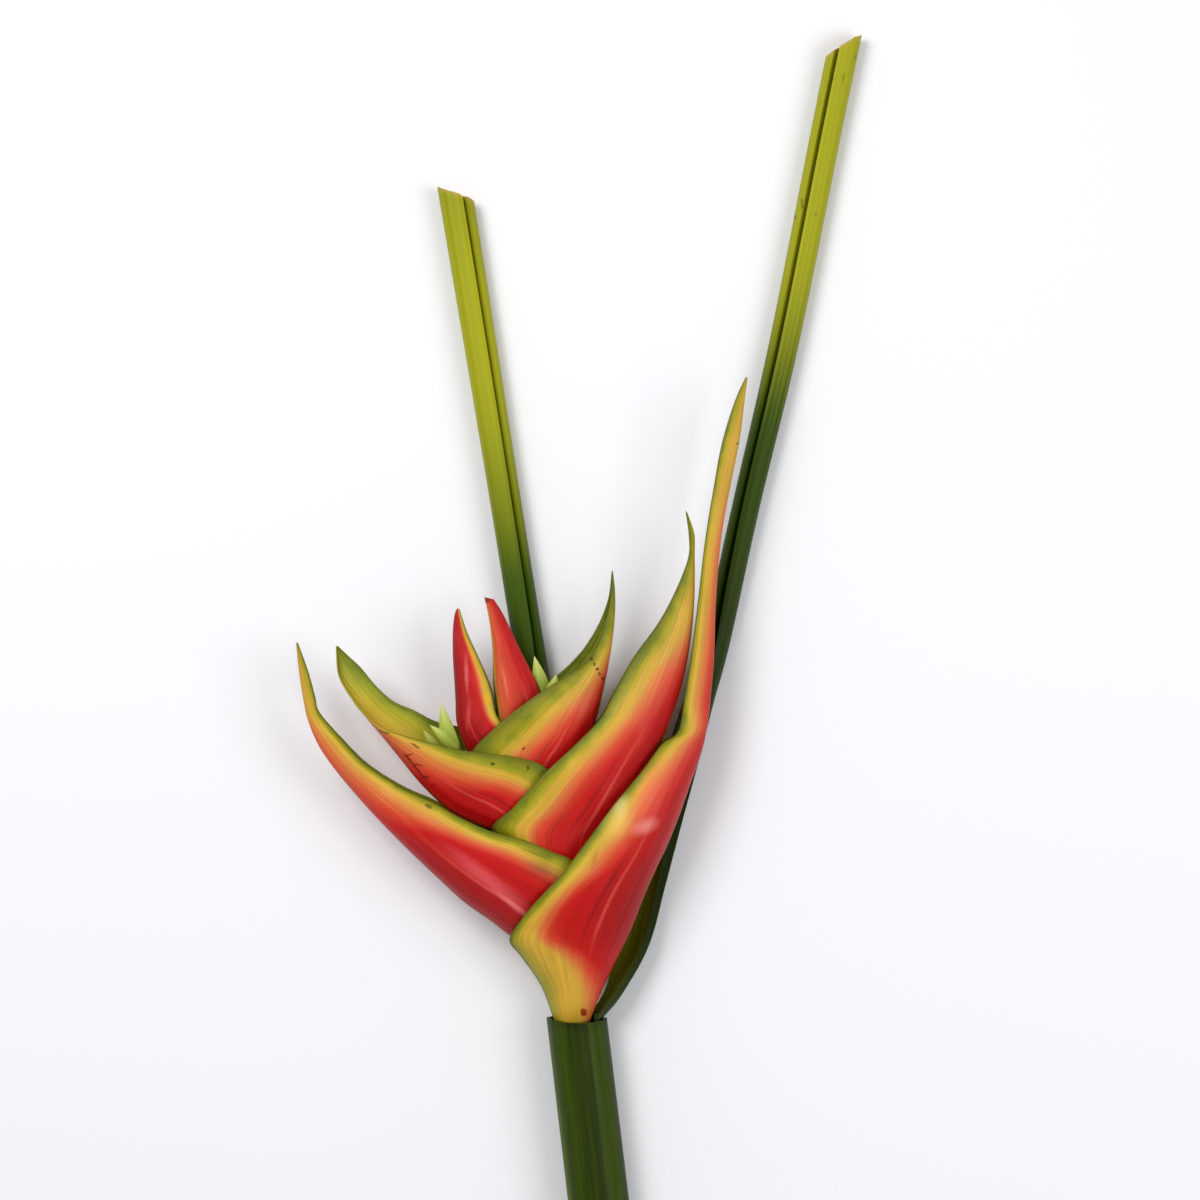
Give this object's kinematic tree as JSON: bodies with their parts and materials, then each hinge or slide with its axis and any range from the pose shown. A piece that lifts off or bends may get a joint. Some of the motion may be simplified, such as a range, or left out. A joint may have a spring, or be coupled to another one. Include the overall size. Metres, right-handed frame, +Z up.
{
  "type": "heliconia flower",
  "caption": "Cut heliconia flower lying on its back: boat-shaped red bracts with yellow and green rims on a zigzag axis, between two trimmed leaf stalks.",
  "frame": {"origin": "centre of the underside of the flower's box, on the surface that it lies on", "axes": "+Y from the stem's cut end towards the tips, +X to the right seen from above, +Z up from the surface"},
  "size_m": [0.216, 0.52, 0.0396],
  "materials": {
    "bract_1_lowest_right": "waxy satin, red with yellow and green rims",
    "bract_2_lowest_left": "waxy satin, red with yellow and green rims",
    "bract_3_middle_right": "waxy satin, red with yellow and green rims",
    "bract_4_middle_left": "waxy satin, red with yellow and green rims",
    "bract_5_upper_right": "waxy satin, red with yellow and green rims",
    "bract_6_bud_left": "waxy satin, red with yellow and green rims",
    "bract_7_bud_right": "waxy satin, red with yellow and green rims",
    "leaf_stalk_left": "smooth waxy green plant tissue with fine lengthwise ribs",
    "leaf_stalk_right": "smooth waxy green plant tissue with fine lengthwise ribs",
    "outer_sheath": "smooth waxy green plant tissue with fine lengthwise ribs",
    "flower_stalk_and_axis": "smooth waxy green plant tissue with fine lengthwise ribs",
    "floret_left_long": "soft pale green, slightly see-through",
    "floret_left_middle": "soft pale green, slightly see-through",
    "floret_left_short": "soft pale green, slightly see-through",
    "floret_right_long": "soft pale green, slightly see-through",
    "floret_right_short": "soft pale green, slightly see-through"
  },
  "bodies": {
    "root": {"bract_1_lowest_right": "bract_1_lowest_right", "bract_2_lowest_left": "bract_2_lowest_left", "bract_3_middle_right": "bract_3_middle_right", "bract_4_middle_left": "bract_4_middle_left", "bract_5_upper_right": "bract_5_upper_right", "bract_6_bud_left": "bract_6_bud_left", "bract_7_bud_right": "bract_7_bud_right", "leaf_stalk_left": "leaf_stalk_left", "leaf_stalk_right": "leaf_stalk_right", "outer_sheath": "outer_sheath", "flower_stalk_and_axis": "flower_stalk_and_axis", "floret_left_long": "floret_left_long", "floret_left_middle": "floret_left_middle", "floret_left_short": "floret_left_short", "floret_right_long": "floret_right_long", "floret_right_short": "floret_right_short"}
  },
  "joints": []
}
